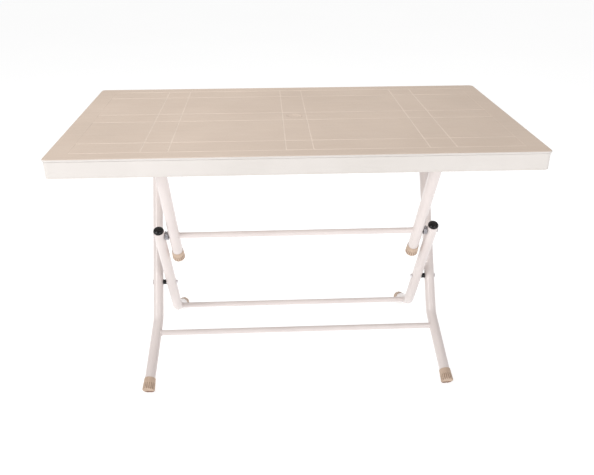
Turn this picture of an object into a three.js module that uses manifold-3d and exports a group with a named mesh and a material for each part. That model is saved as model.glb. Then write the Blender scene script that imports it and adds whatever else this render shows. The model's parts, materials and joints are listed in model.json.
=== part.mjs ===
// Folding garden table: a moulded plastic top on a flat-folding frame of steel tubes.
//
// Frame: millimetres, +Z up, origin on the floor under the middle of the top. +X runs along the long side
// of the top and +Y from the front edge to the rear edge. "left" is -X and "right" is +X.
//
// Each side has three tubes, each in its own plane across X, so they can pass one another:
//   strut      (inner)  hangs from the front hinge and is pinned near its lower end to the rear leg
//   rear leg   (middle) runs from that elbow down and back to the rear foot
//   front leg  (outer)  runs from the rear hinge down and forward to the front foot
// The rear leg and the front leg are pinned where they cross. Seen from the side, strut and rear leg lie in
// one straight line when the table stands, and all three lie flat under the top when it is folded: for that
// the strut is as long as its hinge is far from the middle, so the elbow ends up halfway between the hinges.

import * as THREE from "three";
import { mergeVertices } from "three/addons/utils/BufferGeometryUtils.js";
import Module from "manifold-3d";

const wasm = await Module();
wasm.setup();

// ---- Driving dimensions ----

const TOP_HEIGHT = 740; // floor to tabletop surface
const TOP_LENGTH = 1200; // along X
const TOP_DEPTH = 700; // along Y
const APRON_DROP = 48; // tabletop surface to apron's lower edge
const SHELL = 4; // wall of the moulded top
const LIP_OUT = 3; // how far the top's lip stands out over the apron
const LIP_DROP = 9;
const LIP_ROUND = 3;
const CORNER_RADIUS = 14;
const RIB_DROP = 14; // stiffening ribs under the top
const RIB_WIDTH = 3;

const HINGE_Y = 282; // hinge axles, in front of and behind the middle
const HINGE_Z = 684;
const CROSS_Z = 226; // height of the pivot where the legs cross, at Y = 0

const STRUT_X = 340; // planes of the three tubes of a side
const REAR_LEG_X = 380;
const FRONT_LEG_X = 420;
const FRONT_FOOT_X = 433; // the front feet splay outwards

const TUBE_RADIUS = 15;
const TUBE_WALL = 1.5;
const BAR_RADIUS = 8;
const BAR_WALL = 1.2;

const FRONT_BEND = 115; // cross pivot to the bend of each leg, along the leg
const REAR_BEND = 158;
const BEND_RADIUS = 70;
const FRONT_FOOT_Y = 256; // middle of a foot's end face
const REAR_FOOT_Y = 240;
const FOOT_Z = 12.5;
const FRONT_BAR_PAST_BEND = 45; // bend to cross bar, along the lower part of the leg
const REAR_BAR_PAST_BEND = 25;

const STRUT_FERRULE_ABOVE_CROSS = 144; // cross pivot to the end of the strut's ferrule
const LEG_PAST_ELBOW = 22;
const TUBE_PAST_AXLE = 13;

const FERRULE_LENGTH = 36;
const FERRULE_SOLE = 4;
const FERRULE_MOUTH_RADIUS = 16.3;
const FERRULE_END_RADIUS = 17.9;

const BOLT_RADIUS = 4;
const HEAD_RADIUS = 7;
const HEAD_THICKNESS = 2.6;
const NUT_THICKNESS = 3.5;
const CROSS_SPACER_RADIUS = 8;
const ELBOW_WASHER_RADIUS = 12.5;

const GAP = 0.3; // clearance between pieces that touch or turn
const OPEN_PIVOT_GAP = 0.6; // clearance at the elbow, whose two halves turn about their own pins

const HOLE_RADIUS = 19; // parasol hole
const COLLAR_WALL = 3;
const COLLAR_DROP = 34;
const PLUG_FLANGE_RADIUS = 21.5;
const PLUG_FLANGE = 2;
const PLUG_SKIRT = 12;

const BRACKET_WIDTH = 36;
const FRONT_BRACKET_X = 285;
const REAR_BRACKET_X = 360;
const BRACKET_SADDLE = 12; // half width of the bracket at the axle
const BRACKET_FLANGE = 34; // half width of the bracket under the top
const BRACKET_FLANGE_THICKNESS = 8;
const CAP_LUG = 23; // half width of the cap's lugs
const CAP_LUG_THICKNESS = 5;
const CAP_SCREW_Y = 17;
const CAP_SCREW_RADIUS = 2;
const CAP_SCREW_REACH = 13; // shank below the head

const TUBE_SIDES = 20;
const FLOOR_CUT = 100;

const SIDES = { left: -1, right: 1 };

// ---- Materials ----

function paint(color, roughness, metalness) {
  return () => new THREE.MeshStandardMaterial({ color, roughness, metalness });
}

const topPlastic = paint(0xcdbcac, 0.55, 0);
const plugPlastic = paint(0xc4b3a3, 0.55, 0);
const hingePlastic = paint(0xe9e4de, 0.5, 0);
const framePaint = paint(0xf0ece9, 0.3, 0.2);
const ferrulePlastic = paint(0xb59f8c, 0.65, 0);
const capPlastic = paint(0x15151a, 0.35, 0);
const zincSteel = paint(0x8c8c90, 0.35, 0.9);

// ---- Solids ----

function solidOf(geometry) {
  const bare = geometry.index ? geometry.toNonIndexed() : geometry.clone();
  bare.deleteAttribute("normal");
  bare.deleteAttribute("uv");
  const merged = mergeVertices(bare, 1e-4);
  return new wasm.Manifold(
    new wasm.Mesh({
      numProp: 3,
      vertProperties: merged.attributes.position.array,
      triVerts: new Uint32Array(merged.index.array),
    }),
  );
}

function geometryOf(solid) {
  const mesh = solid.getMesh();
  const geometry = new THREE.BufferGeometry();
  geometry.setAttribute("position", new THREE.BufferAttribute(mesh.vertProperties, 3));
  geometry.setIndex(new THREE.BufferAttribute(mesh.triVerts, 1));
  geometry.computeVertexNormals();
  return geometry;
}

function joined(base, pieces) {
  return geometryOf(pieces.reduce((solid, piece) => solid.add(solidOf(piece)), solidOf(base)));
}

function cut(base, cutters) {
  return geometryOf(cutters.reduce((solid, cutter) => solid.subtract(solidOf(cutter)), solidOf(base)));
}

function block(from, to) {
  const low = new THREE.Vector3(...from);
  const size = new THREE.Vector3(...to).sub(low);
  const middle = low.addScaledVector(size, 0.5);
  return new THREE.BoxGeometry(size.x, size.y, size.z).translate(middle.x, middle.y, middle.z);
}

// A solid rod along X, from x0 to x1, through the point [y, z].
function rodAlongX(radius, x0, x1, [y, z], sides = TUBE_SIDES) {
  const rod = new THREE.CylinderGeometry(radius, radius, Math.abs(x1 - x0), sides);
  return rod.rotateZ(Math.PI / 2).translate((x0 + x1) / 2, y, z);
}

// A turned piece. The profile is [radius, height] pairs, and its height axis ends up along direction.
function turned(profile, origin, direction, sides = TUBE_SIDES) {
  const points = profile.map(([r, h]) => new THREE.Vector2(r, h));
  const lathe = new THREE.LatheGeometry(points, sides);
  const turn = new THREE.Quaternion().setFromUnitVectors(new THREE.Vector3(0, 1, 0), direction);
  return lathe.applyQuaternion(turn).translate(origin.x, origin.y, origin.z);
}

// The centre line of a bent tube: straight runs joined by round bends. Sections stand only where they are
// needed, at the ends and around the bends.
class BentLine extends THREE.Curve {
  constructor(corners, bendRadius, bendSteps = 6) {
    super();
    this.stations = [];
    corners.forEach((corner, i) => {
      const before = i > 0 && corner.clone().sub(corners[i - 1]).normalize();
      const after = i < corners.length - 1 && corners[i + 1].clone().sub(corner).normalize();
      if (!before || !after) {
        this.stations.push({ point: corner, tangent: (before || after).clone() });
        return;
      }
      const bend = before.angleTo(after);
      const setback = bendRadius * Math.tan(bend / 2);
      const inward = after.clone().sub(before).normalize();
      const centre = corner.clone().addScaledVector(inward, bendRadius / Math.cos(bend / 2));
      const start = corner.clone().addScaledVector(before, -setback).sub(centre);
      const axis = before.clone().cross(after).normalize();
      for (let k = 0; k <= bendSteps; k++) {
        const angle = (bend * k) / bendSteps;
        this.stations.push({
          point: start.clone().applyAxisAngle(axis, angle).add(centre),
          tangent: before.clone().applyAxisAngle(axis, angle),
        });
      }
    });
  }

  get steps() {
    return this.stations.length - 1;
  }

  station(u) {
    return this.stations[Math.round(u * this.steps)];
  }

  getPointAt(u) {
    return this.station(u).point.clone();
  }

  getTangentAt(u) {
    return this.station(u).tangent.clone();
  }
}

function ringShape(outer, inner) {
  const shape = new THREE.Shape().absarc(0, 0, outer, 0, 2 * Math.PI);
  shape.holes.push(new THREE.Path().absarc(0, 0, inner, 0, 2 * Math.PI, true));
  return shape;
}

// An open-ended tube along a line of corners.
function tube(corners, outer, wall) {
  const line = new BentLine(corners, BEND_RADIUS);
  return new THREE.ExtrudeGeometry(ringShape(outer, outer - wall), {
    steps: line.steps,
    curveSegments: TUBE_SIDES / 2, // an arc takes two points a segment
    extrudePath: line,
  });
}

// ---- Lines of the frame, seen from the side as [y, z] ----

const cross = new THREE.Vector2(0, CROSS_Z);
const towardFrontHinge = new THREE.Vector2(-HINGE_Y, HINGE_Z - CROSS_Z).normalize();
const towardRearHinge = new THREE.Vector2(HINGE_Y, HINGE_Z - CROSS_Z).normalize();
const crossToHinge = Math.hypot(HINGE_Y, HINGE_Z - CROSS_Z);
const crossToElbow = crossToHinge - HINGE_Y; // the strut is HINGE_Y long, hinge to elbow

function along(direction, distance) {
  return cross.clone().addScaledVector(direction, distance);
}

const frontHinge = [-HINGE_Y, HINGE_Z];
const rearHinge = [HINGE_Y, HINGE_Z];
const elbow = along(towardFrontHinge, crossToElbow).toArray();

function point(x, { x: y, y: z }) {
  return new THREE.Vector3(x, y, z);
}

// One leg: its upper end, its bend and the middle of its foot's end face, on the side s.
function legLine(s, planeX, towardHinge, upper, bend, footX, footY) {
  return {
    upper: point(s * planeX, along(towardHinge, upper)),
    bend: point(s * planeX, along(towardHinge, -bend)),
    foot: new THREE.Vector3(s * footX, footY, FOOT_Z),
  };
}

function frontLegLine(s) {
  const upper = crossToHinge + TUBE_PAST_AXLE;
  return legLine(s, FRONT_LEG_X, towardRearHinge, upper, FRONT_BEND, FRONT_FOOT_X, -FRONT_FOOT_Y);
}

function rearLegLine(s) {
  const upper = crossToElbow + LEG_PAST_ELBOW;
  return legLine(s, REAR_LEG_X, towardFrontHinge, upper, REAR_BEND, REAR_LEG_X, REAR_FOOT_Y);
}

function lowerDirection(line) {
  return line.foot.clone().sub(line.bend).normalize();
}

// ---- Tabletop ----

function roundedPlate(length, depth, radius) {
  const x = length / 2;
  const y = depth / 2;
  const shape = new THREE.Shape();
  shape.absarc(x - radius, y - radius, radius, 0, Math.PI / 2);
  shape.absarc(radius - x, y - radius, radius, Math.PI / 2, Math.PI);
  shape.absarc(radius - x, radius - y, radius, Math.PI, 1.5 * Math.PI);
  shape.absarc(x - radius, radius - y, radius, 1.5 * Math.PI, 2 * Math.PI);
  return shape;
}

function slab(length, depth, radius, z0, z1) {
  const shape = roundedPlate(length, depth, radius);
  const plate = new THREE.ExtrudeGeometry(shape, { depth: z1 - z0, bevelEnabled: false, curveSegments: 3 });
  return plate.translate(0, 0, z0);
}

// The lip: a flat plate whose edges are rounded.
function lipPlate() {
  const flat = 2 * LIP_ROUND;
  const shape = roundedPlate(TOP_LENGTH - flat, TOP_DEPTH - flat, CORNER_RADIUS - LIP_ROUND);
  const plate = new THREE.ExtrudeGeometry(shape, {
    depth: LIP_DROP - flat,
    bevelSize: LIP_ROUND,
    bevelThickness: LIP_ROUND,
    bevelSegments: 3,
    curveSegments: 3,
  });
  return plate.translate(0, 0, TOP_HEIGHT - LIP_DROP + LIP_ROUND);
}

function bracketPads(underside) {
  const pads = [];
  for (const [x, y] of [[FRONT_BRACKET_X, -HINGE_Y], [REAR_BRACKET_X, HINGE_Y]]) {
    for (const s of Object.values(SIDES)) {
      const half = BRACKET_WIDTH / 2 + RIB_WIDTH;
      const reach = BRACKET_FLANGE + RIB_WIDTH;
      const low = [s * x - half, y - reach, underside - RIB_DROP];
      pads.push(block(low, [s * x + half, y + reach, underside]));
    }
  }
  return pads;
}

function ribs(underside) {
  const x = TOP_LENGTH / 2 - LIP_OUT - SHELL / 2;
  const y = TOP_DEPTH / 2 - LIP_OUT - SHELL / 2;
  const z = underside - RIB_DROP;
  const half = RIB_WIDTH / 2;
  const made = [];
  for (const at of [-210, -70, 70, 210]) {
    made.push(block([-x, at - half, z], [x, at + half, underside]));
  }
  for (const at of [-480, -360, -240, -120, 0, 120, 240, 360, 480]) {
    made.push(block([at - half, -y, z], [at + half, y, underside]));
  }
  return made;
}

function upright(radius, z0, z1, x = 0, y = 0, sides = 2 * TUBE_SIDES) {
  const rod = new THREE.CylinderGeometry(radius, radius, z1 - z0, sides);
  return rod.rotateX(Math.PI / 2).translate(x, y, (z0 + z1) / 2);
}

function tabletop() {
  const underside = TOP_HEIGHT - SHELL;
  const embed = 1;
  const apronLow = TOP_HEIGHT - APRON_DROP;
  const outer = [TOP_LENGTH - 2 * LIP_OUT, TOP_DEPTH - 2 * LIP_OUT, CORNER_RADIUS - LIP_OUT];
  const inner = [outer[0] - 2 * SHELL, outer[1] - 2 * SHELL, outer[2] - SHELL];
  const body = joined(lipPlate(), [slab(...outer, apronLow, underside)]);
  const tray = cut(body, [slab(...inner, apronLow - embed, underside)]);
  const collar = upright(HOLE_RADIUS + COLLAR_WALL, underside - COLLAR_DROP, underside + embed);
  const seat = upright(PLUG_FLANGE_RADIUS + COLLAR_WALL, underside - SHELL, underside + embed);
  const filled = joined(tray, [...ribs(underside + embed), ...bracketPads(underside + embed), collar, seat]);
  return cut(filled, [
    upright(HOLE_RADIUS, apronLow - embed, TOP_HEIGHT + embed),
    upright(PLUG_FLANGE_RADIUS + GAP, TOP_HEIGHT - PLUG_FLANGE - GAP, TOP_HEIGHT + embed),
  ]);
}

function parasolPlug() {
  const skirt = HOLE_RADIUS - GAP;
  const wall = 1.5;
  const profile = [
    [0, -wall],
    [skirt - wall, -wall],
    [skirt - wall, -PLUG_SKIRT],
    [skirt, -PLUG_SKIRT],
    [skirt, -PLUG_FLANGE],
    [PLUG_FLANGE_RADIUS, -PLUG_FLANGE],
    [PLUG_FLANGE_RADIUS, -PLUG_FLANGE / 2],
    [PLUG_FLANGE_RADIUS - 1, 0],
    [0, 0],
  ];
  return turned(profile, new THREE.Vector3(0, 0, TOP_HEIGHT), new THREE.Vector3(0, 0, 1), 2 * TUBE_SIDES);
}

// ---- Hinge brackets ----

// Extrudes a side outline, given as [y, z] points, across a width along X.
function sideExtrusion(points, x, width) {
  const shape = new THREE.Shape(points.map(([y, z]) => new THREE.Vector2(y, z)));
  const made = new THREE.ExtrudeGeometry(shape, { depth: width, bevelEnabled: false });
  // shape x, y and depth become Y, Z and X
  const turn = new THREE.Matrix4().makeBasis(
    new THREE.Vector3(0, 1, 0),
    new THREE.Vector3(0, 0, 1),
    new THREE.Vector3(1, 0, 0),
  );
  return made.applyMatrix4(turn).translate(x - width / 2, 0, 0);
}

function screwHoles(x, y, z0, z1) {
  const radius = CAP_SCREW_RADIUS + GAP;
  return [-CAP_SCREW_Y, CAP_SCREW_Y].map((dy) => upright(radius, z0, z1, x, y + dy, TUBE_SIDES));
}

function hingeBracket(x, y) {
  const padZ = TOP_HEIGHT - SHELL + 1 - RIB_DROP;
  const top = padZ - GAP;
  const flange = top - BRACKET_FLANGE_THICKNESS;
  const lug = HINGE_Z + 9;
  const waist = HINGE_Z + 16;
  const flare = flange - 4;
  const half = [
    [CAP_LUG, HINGE_Z],
    [CAP_LUG, lug],
    [BRACKET_SADDLE, waist],
    [BRACKET_SADDLE, flare],
    [BRACKET_FLANGE, flange],
    [BRACKET_FLANGE, top],
  ];
  const mirrored = half.map(([dy, z]) => [-dy, z]).reverse();
  const outline = [...half, ...mirrored].map(([dy, z]) => [y + dy, z]);
  const bore = rodAlongX(BAR_RADIUS + GAP, x - BRACKET_WIDTH, x + BRACKET_WIDTH, [y, HINGE_Z]);
  const holes = screwHoles(x, y, HINGE_Z - 1, lug);
  return cut(sideExtrusion(outline, x, BRACKET_WIDTH), [bore, ...holes]);
}

function hingeCap(x, y) {
  const split = HINGE_Z - GAP;
  const outline = [[y - CAP_LUG, split], [y - CAP_LUG, split - CAP_LUG_THICKNESS]];
  const steps = 8;
  const start = Math.asin(CAP_LUG_THICKNESS / BRACKET_SADDLE);
  for (let k = 0; k <= steps; k++) {
    const angle = start + ((Math.PI - 2 * start) * k) / steps;
    outline.push([y - BRACKET_SADDLE * Math.cos(angle), split - BRACKET_SADDLE * Math.sin(angle)]);
  }
  outline.push([y + CAP_LUG, split - CAP_LUG_THICKNESS], [y + CAP_LUG, split]);
  const bore = rodAlongX(BAR_RADIUS + GAP, x - BRACKET_WIDTH, x + BRACKET_WIDTH, [y, HINGE_Z]);
  const holes = screwHoles(x, y, split - BRACKET_SADDLE, HINGE_Z + 1);
  return cut(sideExtrusion(outline, x, BRACKET_WIDTH), [bore, ...holes]);
}

function capScrew(x, y) {
  const headTop = HINGE_Z - GAP - CAP_LUG_THICKNESS - GAP;
  const head = 2.6;
  const profile = [
    [0, 0],
    [2.5, 0],
    [4, 1.2],
    [4, head],
    [CAP_SCREW_RADIUS, head],
    [CAP_SCREW_RADIUS, head + CAP_SCREW_REACH],
    [0, head + CAP_SCREW_REACH],
  ];
  return turned(profile, new THREE.Vector3(x, y, headTop - head), new THREE.Vector3(0, 0, 1), 12);
}

// ---- Tubes of the frame ----

// Drills round holes along X through a tube at the given [y, z] points.
function drilled(body, x, holes) {
  const reach = 2 * TUBE_RADIUS;
  return cut(body, holes.map((at) => rodAlongX(BOLT_RADIUS + GAP, x - reach, x + reach, at, 16)));
}

function strutTube(s) {
  const lower = STRUT_FERRULE_ABOVE_CROSS + FERRULE_SOLE + GAP;
  const upper = crossToHinge + TUBE_PAST_AXLE;
  const ends = [lower, upper].map((t) => point(s * STRUT_X, along(towardFrontHinge, t)));
  return tube(ends, TUBE_RADIUS, TUBE_WALL);
}

function legTube(line, holes) {
  const end = line.foot.clone().addScaledVector(lowerDirection(line), -(FERRULE_SOLE + GAP));
  return drilled(tube([line.upper, line.bend, end], TUBE_RADIUS, TUBE_WALL), line.upper.x, holes);
}

function crossBar(planeX, { y, z }, coves) {
  const reach = planeX + TUBE_RADIUS;
  const ends = [-reach, reach].map((x) => new THREE.Vector3(x, y, z));
  const long = solidOf(tube(ends, BAR_RADIUS, BAR_WALL));
  const pieces = coves.reduce((bar, cove) => bar.subtract(solidOf(cove)), long).decompose();
  return geometryOf(pieces.reduce((a, b) => (a.volume() > b.volume() ? a : b)));
}

// A solid rod a little fatter than a tube. It coves the end of a bar that is welded to that tube.
function weldCove(from, to) {
  const length = from.distanceTo(to);
  const direction = to.clone().sub(from).normalize();
  const profile = [[0, 0], [TUBE_RADIUS + GAP, 0], [TUBE_RADIUS + GAP, length], [0, length]];
  return turned(profile, from, direction, 2 * TUBE_SIDES);
}

function bothSides(make) {
  return Object.values(SIDES).map(make);
}

// The coves for a bar between the straight upper parts of a pair of tubes.
function upperCoves(planeX, towardHinge) {
  const reach = [100, crossToHinge + 60];
  return bothSides((s) => weldCove(...reach.map((t) => point(s * planeX, along(towardHinge, t)))));
}

function strutBar([y, z]) {
  return crossBar(STRUT_X, { y, z }, upperCoves(STRUT_X, towardFrontHinge));
}

function frontLegTopBar() {
  const [y, z] = rearHinge;
  return crossBar(FRONT_LEG_X, { y, z }, upperCoves(FRONT_LEG_X, towardRearHinge));
}

function legBar(lineOf, pastBend) {
  const line = lineOf(1);
  const middle = line.bend.clone().addScaledVector(lowerDirection(line), pastBend);
  const coves = bothSides((s) => {
    const { bend, foot } = lineOf(s);
    const up = bend.clone().sub(foot).normalize();
    return weldCove(foot, bend.clone().addScaledVector(up, TUBE_RADIUS));
  });
  return crossBar(middle.x, middle, coves);
}

// ---- Plastic ends ----

const FERRULE_PROFILE = [
  [0, 0],
  [FERRULE_END_RADIUS - 1, 0],
  [FERRULE_END_RADIUS, 1.5],
  [FERRULE_MOUTH_RADIUS, FERRULE_LENGTH],
  [TUBE_RADIUS + GAP, FERRULE_LENGTH],
  [TUBE_RADIUS + GAP, FERRULE_SOLE],
  [0, FERRULE_SOLE],
];

function strutFerrule(s) {
  const end = point(s * STRUT_X, along(towardFrontHinge, STRUT_FERRULE_ABOVE_CROSS));
  const up = point(0, along(towardFrontHinge, 1)).sub(point(0, cross));
  return turned(FERRULE_PROFILE, end, up);
}

// A foot is a ferrule whose lowest edge is cut off level with the floor.
function foot(line) {
  const ferrule = turned(FERRULE_PROFILE, line.foot, lowerDirection(line).negate());
  const { x, y } = line.foot;
  const low = [x - FLOOR_CUT, y - FLOOR_CUT, -FLOOR_CUT];
  return cut(ferrule, [block(low, [x + FLOOR_CUT, y + FLOOR_CUT, 0])]);
}

// A domed cap with a stem that sits inside the tube's end.
function endCap(end, direction) {
  const stem = TUBE_RADIUS - TUBE_WALL - GAP;
  const rim = TUBE_RADIUS - 0.8;
  const profile = [
    [0, -14],
    [stem - 1, -14],
    [stem, -13],
    [stem, GAP],
    [rim, GAP],
    [rim, 3],
    [12.2, 6],
    [8, 8.3],
    [0, 9.3],
  ];
  return turned(profile, end, direction);
}

// ---- Pivots ----

// A bolt along X with a low round head: top of the head at x0, end of the shank at x1.
function bolt(x0, x1, [y, z]) {
  const reach = Math.abs(x1 - x0);
  const profile = [
    [0, 0],
    [0.55 * HEAD_RADIUS, 0],
    [0.88 * HEAD_RADIUS, 0.35 * HEAD_THICKNESS],
    [HEAD_RADIUS, HEAD_THICKNESS],
    [BOLT_RADIUS, HEAD_THICKNESS],
    [BOLT_RADIUS, reach],
    [0, reach],
  ];
  return turned(profile, new THREE.Vector3(x0, y, z), new THREE.Vector3(Math.sign(x1 - x0), 0, 0));
}

function ringAlongX(radius, x0, x1, at, sides) {
  const bore = rodAlongX(BOLT_RADIUS + GAP, Math.min(x0, x1) - 1, Math.max(x0, x1) + 1, at, 16);
  return cut(rodAlongX(radius, x0, x1, at, sides), [bore]);
}

function crossPivot(s) {
  const at = cross.toArray();
  const outerFace = FRONT_LEG_X + TUBE_RADIUS + GAP;
  const innerFace = REAR_LEG_X - TUBE_RADIUS - GAP;
  const nutEnd = innerFace - NUT_THICKNESS;
  const spacerOuter = FRONT_LEG_X - TUBE_RADIUS - GAP;
  const spacerInner = REAR_LEG_X + TUBE_RADIUS + GAP;
  return {
    bolt: bolt(s * (outerFace + HEAD_THICKNESS), s * (nutEnd - 1), at),
    spacer: ringAlongX(CROSS_SPACER_RADIUS, s * spacerInner, s * spacerOuter, at, 24),
    nut: ringAlongX(HEAD_RADIUS, s * nutEnd, s * innerFace, at, 6),
  };
}

// The elbow's bolt and washer stay with the rear leg and end just short of the strut.
function elbowPivot(s) {
  const outerFace = REAR_LEG_X + TUBE_RADIUS + GAP;
  const washerOuter = REAR_LEG_X - TUBE_RADIUS - GAP;
  const washerInner = STRUT_X + TUBE_RADIUS + OPEN_PIVOT_GAP;
  return {
    bolt: bolt(s * (outerFace + HEAD_THICKNESS), s * (washerInner + GAP), elbow),
    washer: ringAlongX(ELBOW_WASHER_RADIUS, s * washerInner, s * washerOuter, elbow, 24),
  };
}

// ---- Assembly ----

const table = new THREE.Group();

function add(name, geometry, material) {
  const mesh = new THREE.Mesh(geometry, material());
  mesh.name = name;
  table.add(mesh);
}

function addHinge(end, x, y) {
  for (const [side, s] of Object.entries(SIDES)) {
    const name = `${end}_hinge`;
    add(`${name}_bracket_${side}`, hingeBracket(s * x, y), hingePlastic);
    add(`${name}_cap_${side}`, hingeCap(s * x, y), hingePlastic);
    add(`${name}_screw_fore_${side}`, capScrew(s * x, y - CAP_SCREW_Y), zincSteel);
    add(`${name}_screw_aft_${side}`, capScrew(s * x, y + CAP_SCREW_Y), zincSteel);
  }
}

function addSide(side, s) {
  const front = frontLegLine(s);
  const rear = rearLegLine(s);
  const upFront = rear.upper.clone().sub(rear.bend).normalize();
  const upRear = front.upper.clone().sub(front.bend).normalize();
  const strutTop = point(s * STRUT_X, along(towardFrontHinge, crossToHinge + TUBE_PAST_AXLE));
  const crossParts = crossPivot(s);
  const elbowParts = elbowPivot(s);

  add(`strut_tube_${side}`, strutTube(s), framePaint);
  add(`strut_ferrule_${side}`, strutFerrule(s), ferrulePlastic);
  add(`strut_top_cap_${side}`, endCap(strutTop, upFront), capPlastic);

  add(`rear_leg_tube_${side}`, legTube(rear, [elbow, cross.toArray()]), framePaint);
  add(`rear_leg_cap_${side}`, endCap(rear.upper, upFront), capPlastic);
  add(`rear_foot_${side}`, foot(rear), ferrulePlastic);
  add(`elbow_bolt_${side}`, elbowParts.bolt, zincSteel);
  add(`elbow_washer_${side}`, elbowParts.washer, zincSteel);

  add(`front_leg_tube_${side}`, legTube(front, [cross.toArray()]), framePaint);
  add(`front_leg_cap_${side}`, endCap(front.upper, upRear), capPlastic);
  add(`front_foot_${side}`, foot(front), ferrulePlastic);
  add(`cross_bolt_${side}`, crossParts.bolt, zincSteel);
  add(`cross_spacer_${side}`, crossParts.spacer, capPlastic);
  add(`cross_nut_${side}`, crossParts.nut, zincSteel);
}

add("tabletop", tabletop(), topPlastic);
add("parasol_plug", parasolPlug(), plugPlastic);
addHinge("front", FRONT_BRACKET_X, -HINGE_Y);
addHinge("rear", REAR_BRACKET_X, HINGE_Y);
add("strut_axle", strutBar(frontHinge), framePaint);
add("elbow_bar", strutBar(elbow), framePaint);
add("rear_leg_bar", legBar(rearLegLine, REAR_BAR_PAST_BEND), framePaint);
add("front_leg_axle", frontLegTopBar(), framePaint);
add("front_leg_bar", legBar(frontLegLine, FRONT_BAR_PAST_BEND), framePaint);
for (const [side, s] of Object.entries(SIDES)) {
  addSide(side, s);
}

export default table;
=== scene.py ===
import json
import math

import bmesh
import bpy
from mathutils import Matrix, Vector, noise


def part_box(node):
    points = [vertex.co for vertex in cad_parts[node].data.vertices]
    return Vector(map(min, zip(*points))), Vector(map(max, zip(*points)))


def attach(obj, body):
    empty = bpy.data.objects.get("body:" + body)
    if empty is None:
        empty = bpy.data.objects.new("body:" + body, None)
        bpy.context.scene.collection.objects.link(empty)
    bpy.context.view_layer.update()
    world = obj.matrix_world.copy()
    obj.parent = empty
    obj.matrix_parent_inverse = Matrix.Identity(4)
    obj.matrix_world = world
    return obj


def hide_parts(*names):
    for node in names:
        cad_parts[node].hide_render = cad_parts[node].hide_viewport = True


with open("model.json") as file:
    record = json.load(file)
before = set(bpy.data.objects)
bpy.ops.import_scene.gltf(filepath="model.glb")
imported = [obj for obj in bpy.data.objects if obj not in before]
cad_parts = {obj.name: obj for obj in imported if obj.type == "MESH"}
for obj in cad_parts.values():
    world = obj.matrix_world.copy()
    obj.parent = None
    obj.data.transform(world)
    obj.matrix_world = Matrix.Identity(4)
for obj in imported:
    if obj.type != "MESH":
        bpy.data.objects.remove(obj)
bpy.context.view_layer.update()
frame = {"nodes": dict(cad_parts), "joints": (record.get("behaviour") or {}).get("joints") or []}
scene = bpy.context.scene

SIDES = {"left": -1, "right": 1}
X, Y, Z = Vector((1, 0, 0)), Vector((0, 1, 0)), Vector((0, 0, 1))


# ---- Places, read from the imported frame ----


def middle(node):
    low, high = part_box(node)
    return (low + high) / 2


joints = {j["name"]: j for j in frame["joints"]}
REAR_HINGE = Vector(joints["front_leg_fold"]["pos_m"])
FRONT_HINGE = Vector(joints["strut_fold"]["pos_m"])
CROSS = Vector(joints["cross_pivot"]["pos_m"])
ELBOW = middle("elbow_bar")
ELBOW.x = 0
STRUT_X = middle("strut_tube_right").x
REAR_LEG_X = middle("rear_leg_cap_right").x
FRONT_LEG_X = middle("front_leg_cap_right").x
TOP_LOW, TOP_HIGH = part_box("tabletop")
TOP_Z = TOP_HIGH.z

TO_FRONT_HINGE = (FRONT_HINGE - CROSS).normalized()
TO_REAR_HINGE = (REAR_HINGE - CROSS).normalized()
CROSS_TO_HINGE = (FRONT_HINGE - CROSS).length

# ---- Sizes of the parts, as in the CAD ----

TUBE_R = 0.015
TUBE_WALL = 0.0015
BAR_R = 0.008
WELD_R = 0.0017
BEND_R = 0.070
FRONT_BEND = 0.115
REAR_BEND = 0.158
FRONT_FOOT = Vector((0.433, -0.256, 0.0125))
REAR_FOOT = Vector((REAR_LEG_X, 0.240, 0.0125))
TUBE_PAST_AXLE = 0.013
LEG_PAST_ELBOW = 0.022
FERRULE = 0.036
FERRULE_SOLE = 0.004
FERRULE_ABOVE_CROSS = 0.144

CORNER_R = 0.014
LIP_OUT = 0.003
LIP_DROP = 0.009
SHELL = 0.004
RIB_DROP = 0.013
RIB_HALF_TOP, RIB_HALF_LOW = 0.0018, 0.0013
RIBS_ACROSS_Y = (-0.210, -0.070, 0.070, 0.210)
RIB_SPACING_X = 0.120
RIB_EDGE_GAP = 0.0065  # from the top's edge to a rib's end
RIB_COLLAR_GAP = 0.0215  # from the middle of the hole to a rib's end
PAD_RIM = 0.003
HOLE_R = 0.019
COLLAR_R = 0.022
COLLAR_LOW = TOP_Z - 0.038
PLUG_R = 0.0215


# ---- Materials ----


def srgb(r, g, b):
    def linear(c):
        c /= 255
        return c / 12.92 if c <= 0.04045 else ((c + 0.055) / 1.055) ** 2.4

    return (linear(r), linear(g), linear(b), 1.0)


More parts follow.
